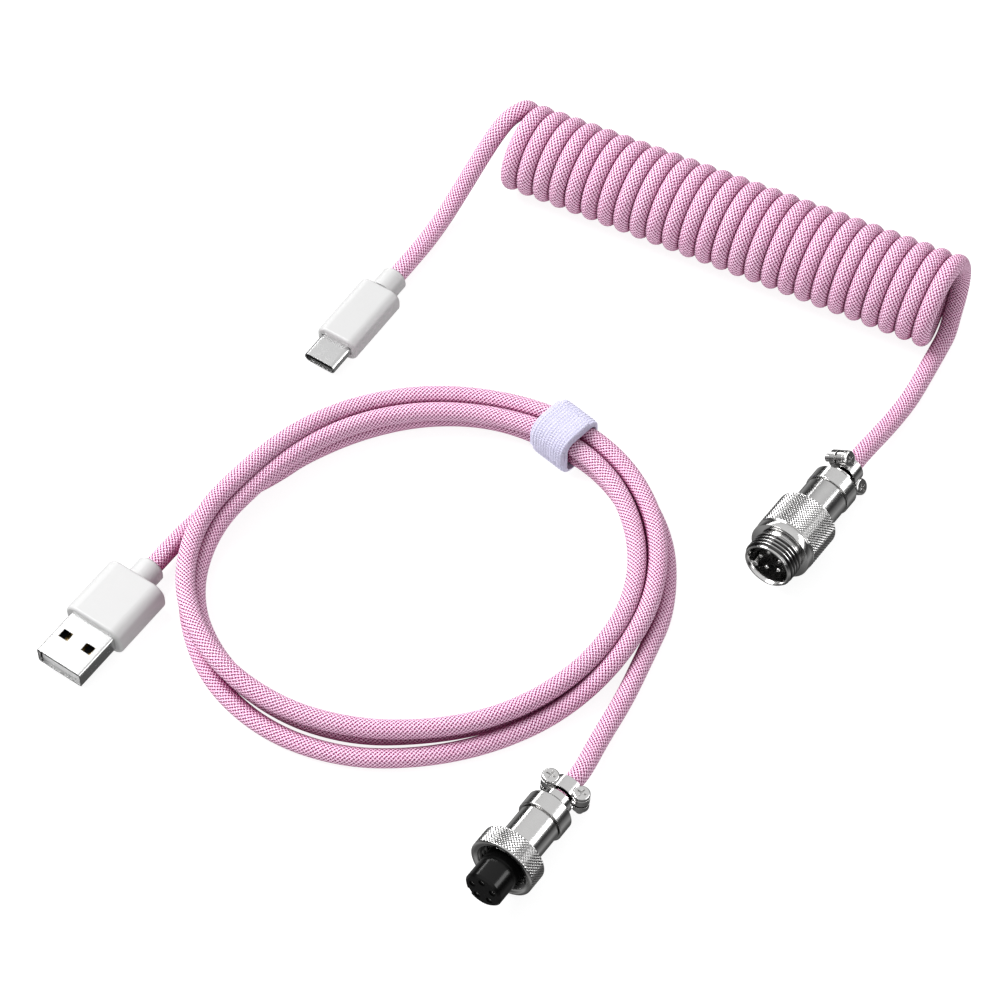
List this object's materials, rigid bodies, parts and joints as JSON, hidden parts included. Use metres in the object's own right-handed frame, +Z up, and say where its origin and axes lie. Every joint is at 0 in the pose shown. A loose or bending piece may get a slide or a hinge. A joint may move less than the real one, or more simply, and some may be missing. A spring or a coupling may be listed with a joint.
{
  "type": "coiled keyboard cable",
  "caption": "Two-piece braided keyboard cable: a coiled half and a looped half with a hook-and-loop strap, USB plugs at the outer ends and a screwed round connector pair between them.",
  "frame": {"origin": "on the plane the cable lies on, under the middle of the box round its plugs, connectors and strap", "axes": "+Z up from the table, +Y from the viewer towards the coil, +X to the right"},
  "size_m": [0.2108, 0.2136, 0.0232],
  "materials": {
    "white_plastic": "satin moulded plastic",
    "nickel": "bright nickel plate",
    "plug_steel": "plated pressed steel",
    "black_plastic": "glossy moulded plastic",
    "contact_metal": "silver plated",
    "gold_contact": "gold plated",
    "board": "glass-fibre circuit board",
    "pink_braid": "woven pink and dark magenta sleeve",
    "lavender_strap": "soft hook-and-loop weave",
    "wire_sleeve": "thin coloured insulation"
  },
  "bodies": {
    "coiled_half": {"coiled_cord_coil": "pink_braid", "coiled_cord_lead": "pink_braid", "coiled_cord_tail": "pink_braid", "male_clamp_bar": "nickel", "male_clamp_screws": "nickel", "male_front_shell": "nickel", "male_insulator": "black_plastic", "male_pins": "contact_metal", "male_rear_shell": "nickel", "male_wires": "wire_sleeve", "usb_c_boot": "white_plastic", "usb_c_circuit_board": "board", "usb_c_contacts": "gold_contact", "usb_c_inner_mould": "white_plastic", "usb_c_insulator": "black_plastic", "usb_c_latch_springs": "contact_metal", "usb_c_metal_shell": "plug_steel", "usb_c_overmould": "white_plastic"},
    "straight_half": {"female_clamp_bar": "nickel", "female_clamp_screws": "nickel", "female_contacts": "contact_metal", "female_insert": "black_plastic", "female_rear_shell": "nickel", "female_shell": "nickel", "female_wires": "wire_sleeve", "nut_retaining_ring": "nickel", "straight_cord_lead": "pink_braid", "straight_cord_ring": "pink_braid", "straight_cord_tail": "pink_braid", "strap_loop": "lavender_strap", "usb_a_boot": "white_plastic", "usb_a_contacts": "gold_contact", "usb_a_inner_mould": "white_plastic", "usb_a_insulator": "white_plastic", "usb_a_metal_shell": "plug_steel", "usb_a_overmould": "white_plastic"},
    "coupling_nut": {"coupling_nut": "nickel"},
    "strap_tab": {"strap_tab": "lavender_strap"}
  },
  "joints": [
    {"name": "halves_apart", "type": "slide", "parent": "coiled_half", "child": "straight_half", "axis": [-1, 0, 0], "range_m": [0, 0.06]},
    {"name": "nut_turn", "type": "hinge", "parent": "straight_half", "child": "coupling_nut", "pos_m": [0.01043, -0.07492, 0.00787], "axis": [-0.559, -0.8225, 0.1045], "continuous": true},
    {"name": "strap_peel", "type": "hinge", "parent": "straight_half", "child": "strap_tab", "pos_m": [0.02533, 0.03732, 0.0116], "axis": [-0.7272, 0.6865, 0], "range_deg": [0, 90]}
  ]
}
